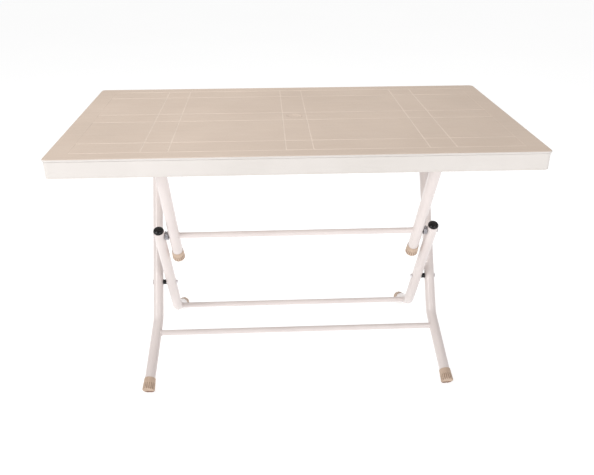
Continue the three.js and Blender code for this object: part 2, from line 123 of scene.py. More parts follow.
class Look:
    """One node material: a Principled shader and the textures that feed it."""

    def __init__(self, name, **values):
        self.material = bpy.data.materials.new(name)
        self.material.use_nodes = True
        self.tree = self.material.node_tree
        self.shader = self.tree.nodes["Principled BSDF"]
        for socket, value in values.items():
            self.shader.inputs[socket.replace("_", " ")].default_value = value
        self.place = self.tree.nodes.new("ShaderNodeTexCoord").outputs["Object"]
        self.height = None

    def node(self, kind, inputs=None, **props):
        made = self.tree.nodes.new("ShaderNode" + kind)
        for key, value in props.items():
            setattr(made, key, value)
        for key, value in (inputs or {}).items():
            if isinstance(value, bpy.types.NodeSocket):
                self.tree.links.new(value, made.inputs[key])
            else:
                made.inputs[key].default_value = value
        return made

    def stretched(self, x, y, z):
        return self.node("Mapping", {"Vector": self.place, "Scale": (x, y, z)}).outputs["Vector"]

    def noise(self, scale, detail=3.0, rough=0.5, where=None):
        inputs = {"Vector": where or self.place, "Scale": scale, "Detail": detail, "Roughness": rough}
        return self.node("TexNoise", inputs).outputs["Fac"]

    def cells(self, scale, feature="F1"):
        made = self.node("TexVoronoi", {"Vector": self.place, "Scale": scale}, feature=feature)
        return made.outputs["Distance"]

    def between(self, value, low, high, to_low=0.0, to_high=1.0):
        inputs = {"Value": value, "From Min": low, "From Max": high, "To Min": to_low, "To Max": to_high}
        return self.node("MapRange", inputs).outputs["Result"]

    def mixed(self, factor, a, b):
        made = self.node("Mix", data_type="RGBA")
        for index, value in ((0, factor), (6, a), (7, b)):
            if isinstance(value, bpy.types.NodeSocket):
                self.tree.links.new(value, made.inputs[index])
            else:
                made.inputs[index].default_value = value
        return made.outputs[2]

    def math(self, operation, a, b):
        made = self.node("Math", operation=operation)
        for index, value in enumerate((a, b)):
            if isinstance(value, bpy.types.NodeSocket):
                self.tree.links.new(value, made.inputs[index])
            else:
                made.inputs[index].default_value = value
        return made.outputs[0]

    def set(self, socket, value):
        self.tree.links.new(value, self.shader.inputs[socket])

    def bump(self, height, strength, distance):
        inputs = {"Height": height, "Strength": strength, "Distance": distance}
        if self.height is not None:
            inputs["Normal"] = self.height
        self.height = self.node("Bump", inputs).outputs["Normal"]
        self.set("Normal", self.height)


def low_part(look, z0, z1):
    """1 near the height z0 fading to 0 at z1."""
    parts = look.node("SeparateXYZ", {"Vector": look.place})
    return look.between(parts.outputs["Z"], z0, z1, 1.0, 0.0)


def top_plastic(name, light, dark):
    look = Look(name)
    clouds = look.noise(2.6, 4.0, 0.55)
    base = look.mixed(look.between(clouds, 0.35, 0.65), dark, light)
    streaks = look.noise(38.0, 4.0, 0.6, look.stretched(0.22, 1.6, 1.0))
    base = look.mixed(look.between(streaks, 0.35, 0.75, 0.0, 0.16), base, srgb(178, 157, 139))
    specks = look.noise(520.0, 2.0, 0.6)
    base = look.mixed(look.between(specks, 0.56, 0.78, 0.0, 0.22), base, srgb(232, 220, 207))
    look.set("Base Color", base)
    worn = look.noise(14.0, 5.0, 0.65)
    scratches = look.noise(60.0, 2.0, 0.4, look.stretched(0.08, 1.0, 1.0))
    matt = look.between(worn, 0.3, 0.7, 0.44, 0.58)
    shine = look.between(scratches, 0.62, 0.72, 0.0, -0.1)
    look.set("Roughness", look.math("ADD", matt, shine))
    look.bump(look.cells(1500.0), 0.35, 0.00012)
    look.bump(look.noise(700.0, 3.0), 0.25, 0.0001)
    return look.material


def body_plastic():
    look = Look("off_white_polypropylene", IOR=1.49)
    clouds = look.noise(5.0, 3.0)
    base = look.mixed(look.between(clouds, 0.3, 0.7), srgb(214, 209, 204), srgb(223, 218, 214))
    grime = look.math("MULTIPLY", low_part(look, TOP_LOW.z, TOP_LOW.z + 0.014), look.noise(45.0, 5.0, 0.7))
    base = look.mixed(look.between(grime, 0.25, 0.8, 0.0, 0.35), base, srgb(196, 184, 170))
    look.set("Base Color", base)
    look.set("Roughness", look.between(look.noise(22.0, 4.0), 0.3, 0.7, 0.36, 0.5))
    look.bump(look.noise(900.0, 2.0), 0.2, 0.00008)
    look.bump(look.noise(9.0, 2.0), 0.15, 0.0008)
    return look.material


def frame_paint():
    look = Look("off_white_powder_coat", Coat_Weight=0.3, Coat_Roughness=0.09, IOR=1.48)
    clouds = look.noise(7.0, 3.0)
    base = look.mixed(look.between(clouds, 0.3, 0.7), srgb(222, 212, 209), srgb(231, 222, 219))
    dust = look.noise(60.0, 6.0, 0.7)
    base = look.mixed(look.between(dust, 0.62, 0.85, 0.0, 0.25), base, srgb(204, 190, 185))
    chips = look.noise(170.0, 3.0, 0.6)
    base = look.mixed(look.between(chips, 0.75, 0.77, 0.0, 0.5), base, srgb(176, 166, 160))
    look.set("Base Color", base)
    scuffs = look.noise(90.0, 3.0, 0.5, look.stretched(1.0, 0.25, 0.25))
    look.set("Roughness", look.between(scuffs, 0.45, 0.75, 0.3, 0.42))
    look.bump(look.noise(700.0, 2.0), 0.08, 0.00003)
    return look.material


def ferrule_plastic(name, light, dark, contact_shade_height=0.0):
    look = Look(name)
    clouds = look.noise(70.0, 4.0, 0.6)
    base = look.mixed(look.between(clouds, 0.3, 0.7), dark, light)
    scuffs = look.noise(260.0, 4.0, 0.7)
    base = look.mixed(look.between(scuffs, 0.58, 0.8, 0.0, 0.35), base, srgb(228, 212, 195))
    # painted contact shade: ragged darker brown towards the end that stands on the floor
    if contact_shade_height:
        ragged = look.math("ADD", look.noise(90.0, 4.0, 0.6), look.noise(400.0, 3.0, 0.6))
        contact_shade = look.math("MULTIPLY", low_part(look, 0.25 * contact_shade_height, contact_shade_height), ragged)
        base = look.mixed(look.between(contact_shade, 0.15, 0.8, 0.0, 0.85), base, srgb(112, 74, 55))
    look.set("Base Color", base)
    look.set("Roughness", look.between(clouds, 0.3, 0.7, 0.5, 0.68))
    look.bump(look.noise(1100.0, 3.0), 0.25, 0.00008)
    return look.material


def black_plastic():
    look = Look("black_plastic", Coat_Weight=0.15, Coat_Roughness=0.04, IOR=1.4)
    marks = look.noise(330.0, 5.0, 0.65)
    look.set("Base Color", look.mixed(look.between(marks, 0.55, 0.85), srgb(7, 7, 10), srgb(19, 18, 23)))
    look.set("Roughness", look.between(marks, 0.4, 0.75, 0.16, 0.26))
    look.bump(look.noise(900.0, 3.0), 0.04, 0.00003)
    return look.material


def zinc(name, light, dark, worn):
    look = Look(name, Metallic=1.0)
    spangle = look.cells(420.0)
    base = look.mixed(look.between(spangle, 0.2, 0.8), dark, light)
    dull = look.noise(130.0, 5.0, 0.7)
    base = look.mixed(look.between(dull, 0.5, 0.75, 0.0, 0.6), base, worn)
    look.set("Base Color", base)
    look.set("Roughness", look.between(dull, 0.3, 0.75, 0.24, 0.5))
    look.bump(look.noise(800.0, 4.0), 0.2, 0.0001)
    return look.material


def nylon():
    look = Look("off_white_nylon", IOR=1.53)
    clouds = look.noise(40.0, 4.0)
    base = look.mixed(look.between(clouds, 0.3, 0.7), srgb(221, 214, 204), srgb(233, 227, 219))
    grime = look.noise(120.0, 5.0, 0.7)
    look.set("Base Color", look.mixed(look.between(grime, 0.58, 0.8, 0.0, 0.45), base, srgb(170, 158, 144)))
    look.set("Roughness", look.between(clouds, 0.3, 0.7, 0.42, 0.58))
    look.bump(look.noise(650.0, 3.0), 0.2, 0.00012)
    return look.material


TAUPE = top_plastic("taupe_polypropylene", srgb(203, 186, 171), srgb(196, 179, 164))
# a lighter copy of the taupe for the faces down in the top's grooves: painted highlight on the lit groove
# walls
GROOVE = top_plastic("taupe_polypropylene_painted_groove_highlight", srgb(214, 199, 185), srgb(208, 192, 178))
BODY = body_plastic()
PAINT = frame_paint()
RIB_LIGHT, RIB_DARK = srgb(207, 184, 164), srgb(190, 165, 144)
# darker copies of the beige for the faces deep in the rib grooves: painted shade in the grooves
GROOVE_SHADE_LIGHT, GROOVE_SHADE_DARK = srgb(150, 122, 102), srgb(128, 100, 82)
RIBBED = ferrule_plastic("beige_soft_plastic", RIB_LIGHT, RIB_DARK)
RIBBED_GROOVE_SHADE = ferrule_plastic("beige_soft_plastic_painted_groove_shade", GROOVE_SHADE_LIGHT, GROOVE_SHADE_DARK)
# the feet's copies add painted contact shade, darker towards the floor
RIBBED_FOOT = ferrule_plastic("beige_soft_plastic_foot", RIB_LIGHT, RIB_DARK, 0.011)
RIBBED_FOOT_GROOVE_SHADE = ferrule_plastic("beige_soft_plastic_foot_painted_groove_shade", GROOVE_SHADE_LIGHT, GROOVE_SHADE_DARK, 0.011)
BLACK = black_plastic()
ZINC = zinc("zinc_plated_steel", srgb(190, 189, 194), srgb(150, 148, 152), srgb(112, 104, 106))
BRIGHT_ZINC = zinc("bright_zinc_plated_steel", srgb(240, 238, 240), srgb(226, 224, 227), srgb(196, 190, 190))
NYLON = nylon()


# ---- Mesh helpers ----


class Shape:
    """Vertices and faces of one piece, with a material index for each face."""

    def __init__(self):
        self.verts = []
        self.faces = []
        self.index = []

    def add(self, verts, faces, index=0):
        start = len(self.verts)
        self.verts.extend(Vector(v) for v in verts)
        self.faces.extend(tuple(start + i for i in face) for face in faces)
        self.index.extend([index] * len(faces))
        return self

    def loft(self, rings, cap_first=True, cap_last=True, index=0, index_of=None):
        n = len(rings[0])
        verts = [p for ring in rings for p in ring]
        for i in range(len(rings) - 1):
            for j in range(n):
                k = (j + 1) % n
                face = (i * n + j, i * n + k, (i + 1) * n + k, (i + 1) * n + j)
                self.faces.append(tuple(len(self.verts) + v for v in face))
                self.index.append(index_of(i, j) if index_of else index)
        start = len(self.verts)
        if cap_first:
            self.faces.append(tuple(start + v for v in reversed(range(n))))
            self.index.append(index)
        if cap_last:
            self.faces.append(tuple(start + (len(rings) - 1) * n + v for v in range(n)))
            self.index.append(index)
        self.verts.extend(Vector(v) for v in verts)
        return self


def build(name, shape, body, stands_for, materials, sharp=38, level_flat=False):
    mesh = bpy.data.meshes.new(name)
    mesh.from_pydata(shape.verts, [], shape.faces)
    for material in materials:
        mesh.materials.append(material)
    mesh.polygons.foreach_set("material_index", shape.index)
    work = bmesh.new()
    work.from_mesh(mesh)
    bmesh.ops.remove_doubles(work, verts=work.verts, dist=2e-6)
    bmesh.ops.recalc_face_normals(work, faces=work.faces)
    work.to_mesh(mesh)
    work.free()
    mesh.set_sharp_from_angle(angle=math.radians(sharp))
    # large level faces keep their own normal, so that grooves in them don't shade their whole width
    smooth = [not (level_flat and abs(face.normal.z) > 0.9999) for face in mesh.polygons]
    mesh.polygons.foreach_set("use_smooth", smooth)
    piece = bpy.data.objects.new(name, mesh)
    scene.collection.objects.link(piece)
    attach(piece, body)
    if stands_for:
        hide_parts(*stands_for)
    return piece


def circle(centre, u, v, radius, sides, wobble=None):
    ring = []
    for k in range(sides):
        angle = 2 * math.pi * k / sides
        r = radius + (wobble(angle) if wobble else 0)
        ring.append(centre + u * (r * math.cos(angle)) + v * (r * math.sin(angle)))
    return ring


def across(axis):
    """Two directions square to axis, the first as near +X as it can be."""
    helper = X if abs(axis.x) < 0.9 else Y
    u = (helper - axis * helper.dot(axis)).normalized()
    return u, axis.cross(u)


def turned(shape, profile, origin, axis, sides=48, wobble=None, index_of=None, index=0):
    """A turned piece: profile is (radius, height along axis) pairs from axis to axis, or a closed loop."""
    u, v = across(axis)
    rings = []
    for i, (r, h) in enumerate(profile):
        change = (lambda a, i=i: wobble(a, i)) if wobble else None
        rings.append(circle(origin + axis * h, u, v, max(r, 2e-5), sides, change))
    return shape.loft(rings, index_of=index_of, index=index)


def ring_piece(shape, profile, origin, axis, sides=48, index=0):
    """A turned piece with a bore: the profile closes on itself."""
    u, v = across(axis)
    rings = [circle(origin + axis * h, u, v, r, sides) for r, h in [*profile, profile[0]]]
    return shape.loft(rings, cap_first=False, cap_last=False, index=index)


def bent_line(corners, radius, steps=16):
    """(point, tangent) stations of a line whose corners are rounded."""
    stations = []
    for i, corner in enumerate(corners):
        before = (corner - corners[i - 1]).normalized() if i else None
        after = (corners[i + 1] - corner).normalized() if i < len(corners) - 1 else None
        if before is None or after is None:
            stations.append((corner, before or after))
            continue
        bend = before.angle(after)
        centre = corner + (after - before).normalized() * (radius / math.cos(bend / 2))
        start = corner - before * (radius * math.tan(bend / 2)) - centre
        axis = before.cross(after).normalized()
        for k in range(steps + 1):
            turn = Matrix.Rotation(bend * k / steps, 3, axis)
            stations.append((turn @ start + centre, turn @ before))
    return stations


def tube(shape, stations, radius, wall, sides=48, deep=0.03):
    """A round tube whose open ends have a rounded rim and a bore deep metres long."""
    inner = radius - wall
    first, tangent = stations[0]
    last, end_tangent = stations[-1]
    rim = 0.0004

    def ring(centre, axis, r):
        return circle(centre, *across(axis), r, sides)

    rings = [
        ring(first + tangent * deep, tangent, inner),
        ring(first + tangent * rim, tangent, inner),
        ring(first, tangent, inner + rim),
        ring(first, tangent, radius - rim),
        ring(first + tangent * rim, tangent, radius),
    ]
    rings += [ring(p, t, radius) for p, t in stations[1:-1]]
    rings += [
        ring(last - end_tangent * rim, end_tangent, radius),
        ring(last, end_tangent, radius - rim),
        ring(last, end_tangent, inner + rim),
        ring(last - end_tangent * rim, end_tangent, inner),
        ring(last - end_tangent * deep, end_tangent, inner),
    ]
    return shape.loft(rings)


# ---- Lines of the frame ----


def on_side(point, s, x=None):
    return Vector((s * (point.x if x is None else x), point.y, point.z))


def strut_at(distance, s):
    return on_side(CROSS + TO_FRONT_HINGE * distance, s, STRUT_X)


def rear_leg_corners(s):
    elbow_distance = (ELBOW - CROSS).length
    upper = on_side(CROSS + TO_FRONT_HINGE * (elbow_distance + LEG_PAST_ELBOW), s, REAR_LEG_X)
    bend = on_side(CROSS - TO_FRONT_HINGE * REAR_BEND, s, REAR_LEG_X)
    return upper, bend, on_side(REAR_FOOT, s)


def front_leg_corners(s):
    upper = on_side(CROSS + TO_REAR_HINGE * (CROSS_TO_HINGE + TUBE_PAST_AXLE), s, FRONT_LEG_X)
    bend = on_side(CROSS - TO_REAR_HINGE * FRONT_BEND, s, FRONT_LEG_X)
    return upper, bend, on_side(FRONT_FOOT, s)


# ---- Tabletop ----

LINES_X = (0.033, 0.314, 0.380)
LINES_Y = (0.038, 0.229, 0.305)
EDGE_LINE_X = 0.546
LINE_HALF = 0.0017
LINE_DEEP = 0.0006


def spread(values, half):
    """Cuts for a groove at each of the values, on both sides of zero."""
    cuts = []
    for value in values:
        for s in (-1, 1):
            cuts += [s * value + d * half for d in (-1, -0.35, 0.35, 1)]
    return cuts


def groove_depth(value, lines):
    return any(abs(abs(value) - line) < 0.5 * LINE_HALF for line in lines)


def top_depth(x, y):
    run_x = abs(x) <= EDGE_LINE_X + 0.5 * LINE_HALF
    run_y = abs(y) <= LINES_Y[-1] + 0.5 * LINE_HALF
    if groove_depth(y, LINES_Y) and run_x:
        return LINE_DEEP
    if groove_depth(x, LINES_X) and run_y:
        return LINE_DEEP
    if groove_depth(x, (EDGE_LINE_X,)) and run_y:
        return 0.5 * LINE_DEEP
    return 0.0


def side_points(xs, ys, corner, inset):
    """A ring of points round the top: along each side at the grid's cuts, and round the corners."""
    half_x = TOP_HIGH.x - inset
    half_y = TOP_HIGH.y - inset
    r = CORNER_R - inset
    points = []
    for k in range(len(xs)):
        points.append((xs[k], -half_y))
    points += arc(xs[-1], -ys[-1], r, -90, corner)
    for k in range(len(ys)):
        points.append((half_x, ys[k]))
    points += arc(xs[-1], ys[-1], r, 0, corner)
    for k in range(len(xs)):
        points.append((xs[-1 - k], half_y))
    points += arc(-xs[-1], ys[-1], r, 90, corner)
    for k in range(len(ys)):
        points.append((-half_x, ys[-1 - k]))
    points += arc(-xs[-1], -ys[-1], r, 180, corner)
    return points


def arc(x, y, r, start, steps):
    made = []
    for k in range(1, steps):
        a = math.radians(start + 90 * k / steps)
        made.append((x + r * math.cos(a), y + r * math.sin(a)))
    return made


def plate_face(shape, xs, ys, z, corner, inset, hole, index, groove_index=None):
    """A flat face out to the ring at inset, cut by the grid, with a round hole in its middle cell."""
    depth = top_depth if groove_index is not None else (lambda x, y: 0.0)
    grid = {(i, j): (x, y, z - depth(x, y)) for i, x in enumerate(xs) for j, y in enumerate(ys)}
    ids = {key: n for n, key in enumerate(grid)}
    verts = list(grid.values())
    plain, grooved = [], []
    mid_i = next(i for i in range(len(xs) - 1) if xs[i] < 0 < xs[i + 1])
    mid_j = next(j for j in range(len(ys) - 1) if ys[j] < 0 < ys[j + 1])
    for i in range(len(xs) - 1):
        for j in range(len(ys) - 1):
            if (i, j) == (mid_i, mid_j):
                continue
            keys = [(i, j), (i + 1, j), (i + 1, j + 1), (i, j + 1)]
            # faces down in a full-depth groove take the lighter copy, a painted highlight
            deep = any(grid[k][2] < z - 0.75 * LINE_DEEP for k in keys)
            (grooved if deep else plain).append(tuple(ids[k] for k in keys))
    # the border between the grid and the ring, with a fan at each corner
    ring = side_points(xs, ys, corner, inset)
    first = len(verts)
    verts += [(x, y, z) for x, y in ring]
    last_i, last_j = len(xs) - 1, len(ys) - 1
    sides = [
        [(i, 0) for i in range(last_i + 1)],
        [(last_i, j) for j in range(last_j + 1)],
        [(last_i - i, last_j) for i in range(last_i + 1)],
        [(0, last_j - j) for j in range(last_j + 1)],
    ]
    at = first
    total = len(ring)
    for side in sides:
        for k in range(len(side) - 1):
            plain.append((at + k, at + k + 1, ids[side[k + 1]], ids[side[k]]))
        at += len(side) - 1
        for k in range(corner):
            a, b = at + k, first + (at + k + 1 - first) % total
            plain.append((a, b, ids[side[-1]]))
        at += corner
    # the hole
    steps = 16
    start = len(verts)
    for k in range(4 * steps):
        a = 2 * math.pi * k / (4 * steps)
        verts.append((hole * math.cos(a), hole * math.sin(a), z))
    corners = [(mid_i + 1, mid_j + 1), (mid_i, mid_j + 1), (mid_i, mid_j), (mid_i + 1, mid_j)]
    for q, key in enumerate(corners):
        for k in range(steps):
            a = start + q * steps + k
            b = start + (q * steps + k + 1) % (4 * steps)
            plain.append((a, b, ids[key]))
        plain.append((start + q * steps, ids[key], ids[corners[q - 1]]))
    shape.add(verts, plain, index)
    if grooved:
        shape.add(verts, grooved, groove_index)


def rib(shape, along, across_dir, centre, length, z_top, z_low):
    """A tapered stiffening rib with a rounded edge."""
    rounded = 0.0007
    section = [
        (-RIB_HALF_TOP, z_top),
        (-RIB_HALF_LOW, z_low + rounded),
        (-RIB_HALF_LOW + rounded, z_low),
        (RIB_HALF_LOW - rounded, z_low),
        (RIB_HALF_LOW, z_low + rounded),
        (RIB_HALF_TOP, z_top),
    ]
    rings = []
    for end in (-length / 2, length / 2):
        rings.append([centre + along * end + across_dir * a + Z * z for a, z in section])
    shape.loft(rings, index=0)


def tabletop():
    shape = Shape()
    xs = sorted(spread(LINES_X, LINE_HALF) + spread((EDGE_LINE_X,), LINE_HALF))
    ys = sorted(spread(LINES_Y, LINE_HALF))
    xs = [CORNER_R - TOP_HIGH.x, *xs, TOP_HIGH.x - CORNER_R]
    ys = [CORNER_R - TOP_HIGH.y, *ys, TOP_HIGH.y - CORNER_R]
    corner = 10
    lip_r = 0.0034
    plate_face(shape, xs, ys, TOP_Z, corner, lip_r, PLUG_R + 0.0008, 1, 2)

    # down the lip, the apron's outside, its lower edge and its inside
    section = []
    for k in range(0, 9):
        a = math.radians(90 - 22.5 * k)
        section.append((lip_r - lip_r * math.cos(a), TOP_Z - lip_r + lip_r * math.sin(a)))
    section += [
        (0.0016, TOP_Z - LIP_DROP + 0.0022),
        (LIP_OUT - 0.0004, TOP_Z - LIP_DROP + 0.0012),
        (LIP_OUT, TOP_Z - LIP_DROP),
    ]
    low = TOP_LOW.z
    draft = 0.0007
    edge = 0.0016
    for k in range(0, 7):
        a = math.radians(180 + 30 * k)
        middle_of_edge = LIP_OUT + draft + edge
        section.append((middle_of_edge + edge * math.cos(a), low + edge + edge * math.sin(a)))
    under = TOP_Z - SHELL
    section += [
        (LIP_OUT + draft + 2 * edge + 0.0012, under - 0.002),
        (LIP_OUT + draft + 2 * edge + 0.0020, under - 0.0006),
        (LIP_OUT + draft + 2 * edge + 0.0035, under),
    ]
    rings = []
    for inset, z in section:
        rings.append([Vector((x, y, z)) for x, y in side_points(xs, ys, corner, inset)])
    shape.loft(rings, cap_first=False, cap_last=False, index=0, index_of=lambda i, j: 1 if i < 2 else 0)
    plate_face(shape, xs, ys, under, corner, section[-1][0], COLLAR_R + 0.0015, 0)

    # the seat of the plug, the hole and its collar
    seat = TOP_Z - 0.0023
    profile = [
        (PLUG_R + 0.0008, TOP_Z),
        (PLUG_R + 0.0004, TOP_Z - 0.0003),
        (PLUG_R + 0.0003, seat),
        (HOLE_R + 0.0004, seat),
        (HOLE_R, seat - 0.0004),
        (HOLE_R, COLLAR_LOW + 0.0008),
        (HOLE_R + 0.0008, COLLAR_LOW),
        (COLLAR_R - 0.0008, COLLAR_LOW),
        (COLLAR_R, COLLAR_LOW + 0.0008),
        (COLLAR_R, under - 0.0012),
        (COLLAR_R + 0.0015, under),
    ]
    rings = [circle(Z * h, X, Y, r, 64) for r, h in profile]
    shape.loft(rings, cap_first=False, cap_last=False, index_of=lambda i, j: 1 if i < 3 else 0)

    # stiffening ribs and the pads that carry the hinges
    rib_low = TOP_Z - SHELL - RIB_DROP
    top_in = under + 0.0008
    for y in RIBS_ACROSS_Y:
        rib(shape, X, Y, Vector((0, y, 0)), 2 * (TOP_HIGH.x - RIB_EDGE_GAP), top_in, rib_low)
    for k in range(-4, 5):
        x = RIB_SPACING_X * k
        if k:
            rib(shape, Y, X, Vector((x, 0, 0)), 2 * (TOP_HIGH.y - RIB_EDGE_GAP), top_in, rib_low)
            continue
        for s in (-1, 1):
            length = TOP_HIGH.y - RIB_EDGE_GAP - RIB_COLLAR_GAP
            centre = Vector((0, s * (RIB_COLLAR_GAP + length / 2), 0))
            rib(shape, Y, X, centre, length, top_in, rib_low)
    for place in ("front", "rear"):
        for side in SIDES:
            a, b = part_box(f"{place}_hinge_bracket_{side}")
            pad(shape, a.x - PAD_RIM, b.x + PAD_RIM, a.y - PAD_RIM, b.y + PAD_RIM, rib_low, top_in)
    return build("top_shell", shape, "top", ["tabletop"], [BODY, TAUPE, GROOVE], 30, True)


def pad(shape, x0, x1, y0, y1, z0, z1):
    """A boss with a rounded lower edge."""
    rings = []
    r = 0.0012
    for inset, z in ((0, z1), (0, z0 + r), (0.35 * r, z0 + 0.35 * r), (r, z0)):
        rings.append(
            [
                Vector((x0 + inset, y0 + inset, z)),
                Vector((x1 - inset, y0 + inset, z)),
                Vector((x1 - inset, y1 - inset, z)),
                Vector((x0 + inset, y1 - inset, z)),
            ]
        )
    shape.loft(rings)


def parasol_plug():
    """The loose plug: a flange with a shallow dish, and a skirt below it."""
    shape = Shape()
    dish = 0.0011
    profile = [
        (0, -0.0036),
        (HOLE_R - 0.0020, -0.0036),
        (HOLE_R - 0.0020, -0.012),
        (HOLE_R - 0.0008, -0.012),
        (HOLE_R - 0.0003, -0.0112),
        (HOLE_R - 0.0003, -0.0020),
        (PLUG_R - 0.0004, -0.0020),
        (PLUG_R, -0.0016),
        (PLUG_R, -0.0006),
        (PLUG_R - 0.0005, 0),
        (PLUG_R - 0.0024, 0),
        (PLUG_R - 0.0036, -0.0006),
        (PLUG_R - 0.0060, -dish),
        (0.0100, -dish),
        (0.0088, -dish - 0.0010),
        (0, -dish - 0.0011),
    ]
    turned(shape, profile, Z * TOP_Z, Z, sides=72)
    return build("parasol_plug_finished", shape, "plug", ["parasol_plug"], [TAUPE], sharp=32)


# ---- Tubes, bars and welds ----


def saddle(bar_yz, leg_point, leg_axis, leg_radius, side, offset_radius, sides):
    """Points round a bar where it meets a leg: for each angle, the x where the leg's surface is reached."""
    points = []
    flat_x = X - leg_axis * X.dot(leg_axis)
    for k in range(sides):
        a = 2 * math.pi * k / sides
        out = Vector((0, math.cos(a), math.sin(a)))
        start = Vector((0, bar_yz[0], bar_yz[1])) + out * offset_radius - leg_point
        flat = start - leg_axis * start.dot(leg_axis)
        qa = flat_x.length_squared
        qb = 2 * flat.dot(flat_x)
        qc = flat.length_squared - leg_radius**2
        root = math.sqrt(max(qb * qb - 4 * qa * qc, 0))
        x = min(((-qb - root) / (2 * qa), (-qb + root) / (2 * qa)), key=abs)
        points.append((Vector((x, bar_yz[0], bar_yz[1])), out, side))
    return points


def weld_bead(shape, ring, bar_radius, thickness, seed):
    """A rippled fillet of weld metal round the end of a bar."""
    n = len(ring)
    steps = 8
    loops = []
    for i, (centre, out, side) in enumerate(ring):
        beat = 0.13 * math.sin(2 * math.pi * i * 0.31)
        rough = 0.16 * noise.noise(centre * 400 + out * 9 + Z * seed)
        r = thickness * (1 + beat + rough)
        core = centre + out * (bar_radius + 0.1 * r) - X * (side * 0.1 * r)
        loops.append([core + out * (r * math.cos(b)) - X * (side * r * math.sin(b)) for b in angles(steps)])
    verts = [p for loop in loops for p in loop]
    faces = []
    for i in range(n):
        for j in range(steps):
            k, m = (i + 1) % n, (j + 1) % steps
            faces.append((i * steps + j, i * steps + m, k * steps + m, k * steps + j))
    shape.add(verts, faces)


def angles(steps):
    return [2 * math.pi * k / steps for k in range(steps)]


def cross_bar(node, body, yz, leg_of):
    """A bar between two legs, its ends coved to the legs and welded. leg_of gives (point, axis) on a side."""
    shape = Shape()
    sides = 48
    ends = {}
    for s in SIDES.values():
        point, axis = leg_of(s)
        ends[s] = saddle(yz, point, axis, TUBE_R - 0.0002, s, BAR_R, sides)
    rings = []
    for s in (-1, 1):
        ring = [centre + out * BAR_R for centre, out, _ in ends[s]]
        inward = [p - X * (s * 0.004) for p in ring]
        rings += [ring, inward] if s < 0 else [inward, ring]
    shape.loft(rings)
    for s in (-1, 1):
        weld_bead(shape, ends[s], BAR_R, WELD_R, 3 + s)
    return build(f"{node}_finished", shape, body, [node], [PAINT], sharp=50)


def frame_tubes():
    for side, s in SIDES.items():
        top = strut_at(CROSS_TO_HINGE + TUBE_PAST_AXLE, s)
        low = strut_at(FERRULE_ABOVE_CROSS + FERRULE_SOLE + 0.0003, s)
        shape = tube(Shape(), [(low, TO_FRONT_HINGE), (top, TO_FRONT_HINGE)], TUBE_R, TUBE_WALL)
        build(f"strut_tube_{side}_finished", shape, "strut", [f"strut_tube_{side}"], [PAINT])

        for name, corners in (("rear_leg", rear_leg_corners(s)), ("front_leg", front_leg_corners(s))):
            upper, bend, foot = corners
            end = foot + (bend - foot).normalized() * (FERRULE_SOLE + 0.0003)
            shape = tube(Shape(), bent_line([upper, bend, end], BEND_R), TUBE_R, TUBE_WALL)
            node = f"{name}_tube_{side}"
            build(f"{node}_finished", shape, name, [node], [PAINT])


def bars():
    def strut_line(s):
        return on_side(CROSS, s, STRUT_X), TO_FRONT_HINGE

    def front_upper(s):
        return on_side(CROSS, s, FRONT_LEG_X), TO_REAR_HINGE

    def lower(corners_of):
        def line(s):
            _, bend, foot = corners_of(s)
            return foot, (bend - foot).normalized()

        return line

    def at(node):
        where = middle(node)
        return where.y, where.z

    cross_bar("strut_axle", "strut", at("strut_axle"), strut_line)
    cross_bar("elbow_bar", "strut", at("elbow_bar"), strut_line)
    cross_bar("front_leg_axle", "front_leg", at("front_leg_axle"), front_upper)
    cross_bar("front_leg_bar", "front_leg", at("front_leg_bar"), lower(front_leg_corners))
    cross_bar("rear_leg_bar", "rear_leg", at("rear_leg_bar"), lower(rear_leg_corners))


# ---- Plastic ends ----

RIBS = 18


def ferrule(name, node, body, end, up, on_floor):
    """A ribbed end piece: plain at the mouth, with grooves that deepen towards the end, and a dished sole."""
    shape = Shape()
    mouth, foot_r = 0.0163, 0.0179
    sides = RIBS * 8
    profile = [(0, 0.0012), (0.0118, 0.0012), (0.0132, 0.0002)]
    profile += [(foot_r - 0.0018, 0.0), (foot_r - 0.0005, 0.0005), (foot_r, 0.0016)]
    steps = 14
    ribs_top = FERRULE - 0.0090
    for k in range(1, steps + 1):
        t = k / steps
        h = 0.0016 + (ribs_top - 0.0016) * t
        profile.append((foot_r + (mouth - foot_r) * h / FERRULE, h))
    ribbed_rows = range(3, len(profile))
    profile += [
        (mouth + 0.0003, ribs_top + 0.0010),
        (mouth + 0.0001, FERRULE - 0.0014),
        (mouth - 0.0001, FERRULE - 0.0004),
        (mouth - 0.0005, FERRULE),
        (0.0153, FERRULE - 0.0003),
        (0.0153, 0.006),
        (0, 0.006),
    ]
    heights = [h for _, h in profile]

    def wobble(angle, i):
        if i not in ribbed_rows:
            return 0.0
        fade = max(1 - heights[i] / ribs_top, 0.0)
        groove = max(0.0, math.cos(RIBS * angle)) ** 2
        return -0.0019 * fade**0.75 * groove

    # faces deep in a rib groove take the darker copy, painted shade
    def index_of(i, j):
        angle = 2 * math.pi * (j + 0.5) / sides
        in_groove = math.cos(RIBS * angle) > 0.45
        return 1 if in_groove and i in ribbed_rows and heights[i] < 0.7 * ribs_top else 0

    turned(shape, profile, end, up, sides=sides, wobble=wobble, index_of=index_of)
    if on_floor:
        # the edge that stands on the floor is worn flat
        for v in shape.verts:
            v.z = max(v.z, 0.0)
    finish = [RIBBED_FOOT, RIBBED_FOOT_GROOVE_SHADE] if on_floor else [RIBBED, RIBBED_GROOVE_SHADE]
    return build(name, shape, body, [node], finish, sharp=55)


def ferrules():
    for side, s in SIDES.items():
        end = strut_at(FERRULE_ABOVE_CROSS, s)
        node = f"strut_ferrule_{side}"
        ferrule(f"{node}_finished", node, "strut", end, TO_FRONT_HINGE, False)
        for body, corners in (("rear_leg", rear_leg_corners(s)), ("front_leg", front_leg_corners(s))):
            _, bend, foot = corners
            node = body.replace("leg", "foot")
            ferrule(f"{node}_{side}_finished", f"{node}_{side}", body, foot, (bend - foot).normalized(), True)


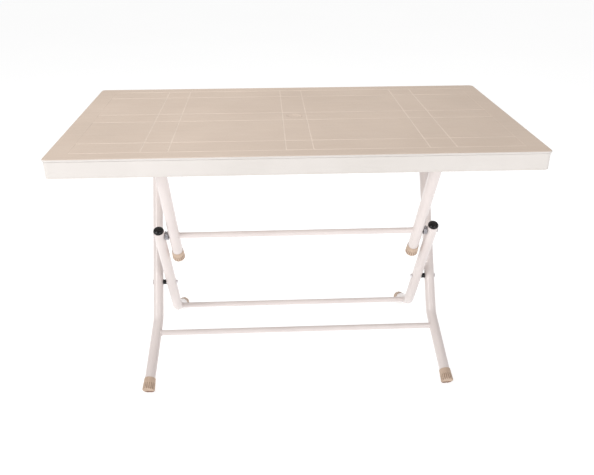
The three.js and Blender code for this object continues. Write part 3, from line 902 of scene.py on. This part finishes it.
def end_cap(name, node, body, end, up):
    """A glossy domed plug pushed into the tube."""
    shape = Shape()
    rim = 0.0142
    profile = [(0, -0.012), (0.0124, -0.012), (0.0130, -0.0112), (0.0131, 0.0003), (rim - 0.0004, 0.0003)]
    profile += [(rim, 0.0008), (rim, 0.0022), (rim - 0.0003, 0.0026), (rim - 0.0011, 0.0028)]
    dome = 12
    for k in range(1, dome + 1):
        a = math.radians(90 * k / dome)
        profile.append(((rim - 0.0013) * math.cos(a), 0.0029 + 0.0064 * math.sin(a)))
    turned(shape, profile, end, up, sides=56)
    return build(name, shape, body, [node], [BLACK], sharp=42)


def end_caps():
    for side, s in SIDES.items():
        caps = {
            "strut_top_cap": ("strut", strut_at(CROSS_TO_HINGE + TUBE_PAST_AXLE, s), TO_FRONT_HINGE),
            "rear_leg_cap": ("rear_leg", rear_leg_corners(s)[0], TO_FRONT_HINGE),
            "front_leg_cap": ("front_leg", front_leg_corners(s)[0], TO_REAR_HINGE),
        }
        for node, (body, end, up) in caps.items():
            end_cap(f"{node}_{side}_finished", f"{node}_{side}", body, end, up)


# ---- Pivots ----


def spacer(name, node, body, material, waist):
    """A round spacer on the X axis with rounded flanges and a narrower middle."""
    low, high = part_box(node)
    half = (high.x - low.x) / 2
    radius = (high.z - low.z) / 2
    bore = 0.0043
    r = 0.0007
    profile = [
        (bore, -half),
        (radius - r, -half),
        (radius, -half + r),
        (radius, -0.42 * half),
        (radius - waist * 0.7, -0.30 * half),
        (radius - waist, -0.16 * half),
        (radius - waist, 0.16 * half),
        (radius - waist * 0.7, 0.30 * half),
        (radius, 0.42 * half),
        (radius, half - r),
        (radius - r, half),
        (bore, half),
    ]
    shape = ring_piece(Shape(), profile, middle(node), X, sides=56)
    return build(name, shape, body, [node], [material], sharp=40)


def pivots():
    for side in SIDES:
        node = f"elbow_washer_{side}"
        spacer(f"{node}_finished", node, "rear_leg", ZINC, 0.0016)
        node = f"cross_spacer_{side}"
        spacer(f"{node}_finished", node, "front_leg", BLACK, 0.0010)


def finish_node(node, material, bevel):
    """A CAD node that stays: its edges are rounded and it gets a material."""
    piece = frame["nodes"][node]
    piece.data.materials.clear()
    piece.data.materials.append(material)
    weld = piece.modifiers.new("weld", "WELD")
    weld.merge_threshold = 1e-5
    rounding = piece.modifiers.new("bevel", "BEVEL")
    rounding.width = bevel
    rounding.segments = 3
    rounding.limit_method = "ANGLE"
    rounding.angle_limit = math.radians(32)
    rounding.harden_normals = True
    piece.data.polygons.foreach_set("use_smooth", [True] * len(piece.data.polygons))


def kept_nodes():
    for node in frame["nodes"]:
        if "hinge_bracket" in node or "hinge_cap" in node:
            finish_node(node, NYLON, 0.0009)
        elif "screw" in node or "bolt" in node or "cross_nut" in node:
            finish_node(node, BRIGHT_ZINC, 0.0004)


# ---- Stage ----

CAMERA_AT = (-0.0821, -1.8840, 1.2487)
CAMERA_TURN = (-2.698, -25.076, 0.158)  # yaw, pitch and roll, degrees
CAMERA_LENS = 41.87
FLOOR_HALF = 40
FLOOR_BELOW = 0.0006


def floor():
    look = Look("pale_floor")
    clouds = look.noise(0.7, 3.0)
    pale = look.mixed(look.between(clouds, 0.3, 0.7), srgb(176, 176, 176), srgb(180, 180, 180))
    look.set("Base Color", pale)
    look.set("Roughness", look.between(clouds, 0.3, 0.7, 0.85, 0.95))
    look.shader.inputs["Emission Color"].default_value = (1.0, 1.0, 1.0, 1.0)
    look.shader.inputs["Emission Strength"].default_value = 0.76
    mesh = bpy.data.meshes.new("floor")
    h = FLOOR_HALF
    mesh.from_pydata([(-h, -h, 0), (h, -h, 0), (h, h, 0), (-h, h, 0)], [], [(0, 1, 2, 3)])
    mesh.materials.append(look.material)
    piece = bpy.data.objects.new("floor", mesh)
    piece.location.z = -FLOOR_BELOW
    scene.collection.objects.link(piece)


def area_light(name, place, target, size, power, colour=(1, 1, 1)):
    light = bpy.data.lights.new(name, "AREA")
    light.shape = "DISK"
    light.size = size
    light.energy = power
    light.color = colour
    piece = bpy.data.objects.new(name, light)
    piece.location = place
    piece.rotation_euler = (Vector(target) - Vector(place)).to_track_quat("-Z", "Y").to_euler()
    scene.collection.objects.link(piece)


def lights():
    world = bpy.data.worlds.new("studio")
    world.use_nodes = True
    background = world.node_tree.nodes["Background"]
    background.inputs["Color"].default_value = (1.0, 1.0, 1.0, 1.0)
    background.inputs["Strength"].default_value = 0.42
    scene.world = world
    area_light("overhead", (-0.5, 0.5, 3.2), (0, 0, 0.7), 2.6, 50, (1.0, 0.98, 0.965))
    area_light("key", (-2.7, -2.4, 2.1), (0, 0, 0.4), 1.6, 52, (1.0, 0.985, 0.975))
    area_light("front_fill", (1.6, -3.8, 1.7), (0, 0, 0.6), 2.2, 36, (1.0, 0.97, 0.97))


def camera():
    data = bpy.data.cameras.new("camera")
    data.sensor_fit = "HORIZONTAL"
    data.sensor_width = 36
    data.lens = CAMERA_LENS
    piece = bpy.data.objects.new("camera", data)
    yaw, pitch, roll = (math.radians(a) for a in CAMERA_TURN)
    turn = Matrix.Rotation(yaw, 4, "Z") @ Matrix.Rotation(pitch, 4, "X") @ Matrix.Rotation(roll, 4, "Y")
    level = Matrix.Rotation(math.pi / 2, 4, "X")
    piece.matrix_world = Matrix.Translation(CAMERA_AT) @ turn @ level
    scene.collection.objects.link(piece)
    scene.camera = piece


tabletop()
parasol_plug()
frame_tubes()
bars()
ferrules()
end_caps()
pivots()
kept_nodes()
floor()
lights()
camera()
scene.view_settings.view_transform = "Standard"
